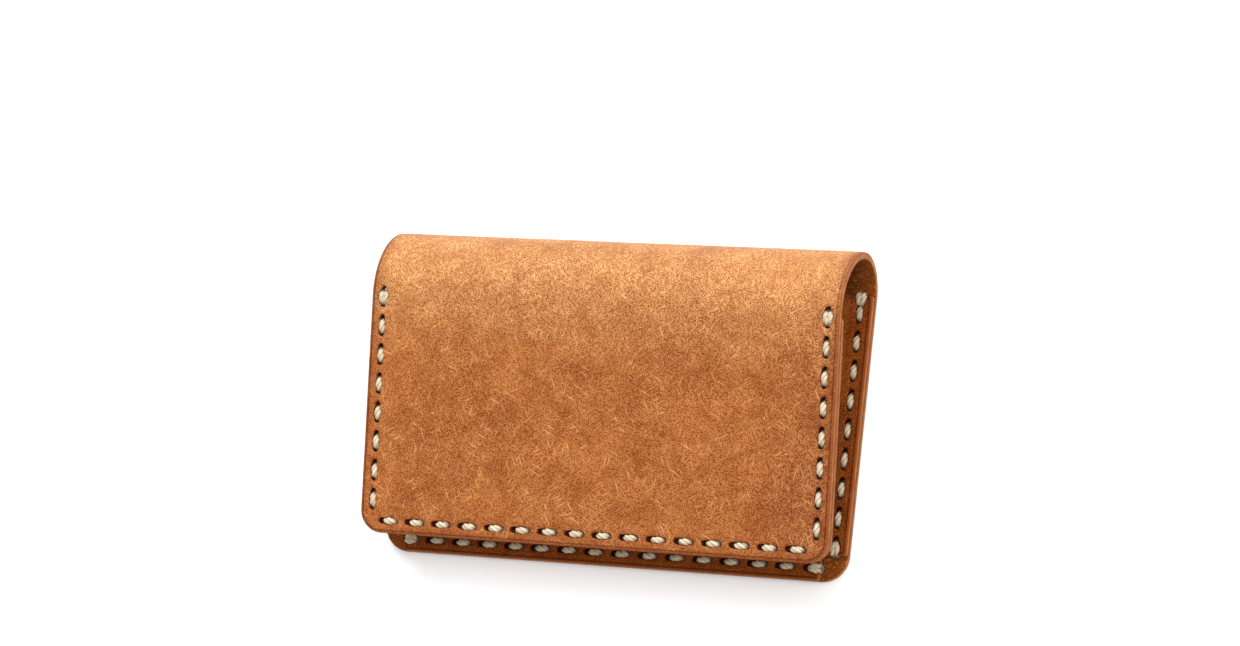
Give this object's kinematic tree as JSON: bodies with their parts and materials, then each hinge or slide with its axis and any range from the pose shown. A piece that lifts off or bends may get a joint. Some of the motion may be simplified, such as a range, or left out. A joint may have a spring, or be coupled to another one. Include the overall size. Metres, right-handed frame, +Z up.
{
  "type": "card holder",
  "caption": "Hand-stitched leather card holder: a folded cover with a rounded fold, a flap with a flat inner pocket, and a box pocket sewn inside the back.",
  "frame": {"origin": "middle of the outline on the surface the closed holder lies on, under its back", "axes": "+X across the holder to the right, +Y from its open edge towards the fold, +Z up through the back, the box pocket and the flap"},
  "size_m": [0.11, 0.0706, 0.0231],
  "materials": {
    "cover_leather": "waxed vegetable-tanned leather, finely scratched, satin",
    "pocket_leather": "vegetable-tanned leather, satin",
    "waxed_thread": "waxed cord, unbleached"
  },
  "bodies": {
    "back": {"cover_back": "cover_leather", "box_pocket": "pocket_leather", "left_seam_thread": "waxed_thread", "bottom_seam_thread": "waxed_thread", "right_seam_thread": "waxed_thread"},
    "fold_1": {"cover_fold_1": "cover_leather"},
    "fold_2": {"cover_fold_2": "cover_leather"},
    "fold_3": {"cover_fold_3": "cover_leather"},
    "flap": {"cover_flap": "cover_leather", "flap_pocket": "pocket_leather", "flap_seam_thread": "waxed_thread"}
  },
  "joints": [
    {"name": "fold_bend_1", "type": "hinge", "parent": "back", "child": "fold_1", "pos_m": [0, 0.03005, 0.00061], "axis": [-1, 0, 0], "range_deg": [0, 45]},
    {"name": "fold_bend_2", "type": "hinge", "parent": "fold_1", "child": "fold_2", "pos_m": [0, 0.03457, 0.00498], "axis": [-1, 0, 0], "range_deg": [0, 45]},
    {"name": "fold_bend_3", "type": "hinge", "parent": "fold_2", "child": "fold_3", "pos_m": [0, 0.03443, 0.01336], "axis": [-1, 0, 0], "range_deg": [0, 45]},
    {"name": "fold_bend_4", "type": "hinge", "parent": "fold_3", "child": "flap", "pos_m": [0, 0.02716, 0.02143], "axis": [-1, 0, 0], "range_deg": [0, 45]}
  ],
  "couplings": [
    {"joint": "fold_bend_2", "follows": "fold_bend_1", "ratio": 1},
    {"joint": "fold_bend_3", "follows": "fold_bend_1", "ratio": 1},
    {"joint": "fold_bend_4", "follows": "fold_bend_1", "ratio": 1}
  ]
}
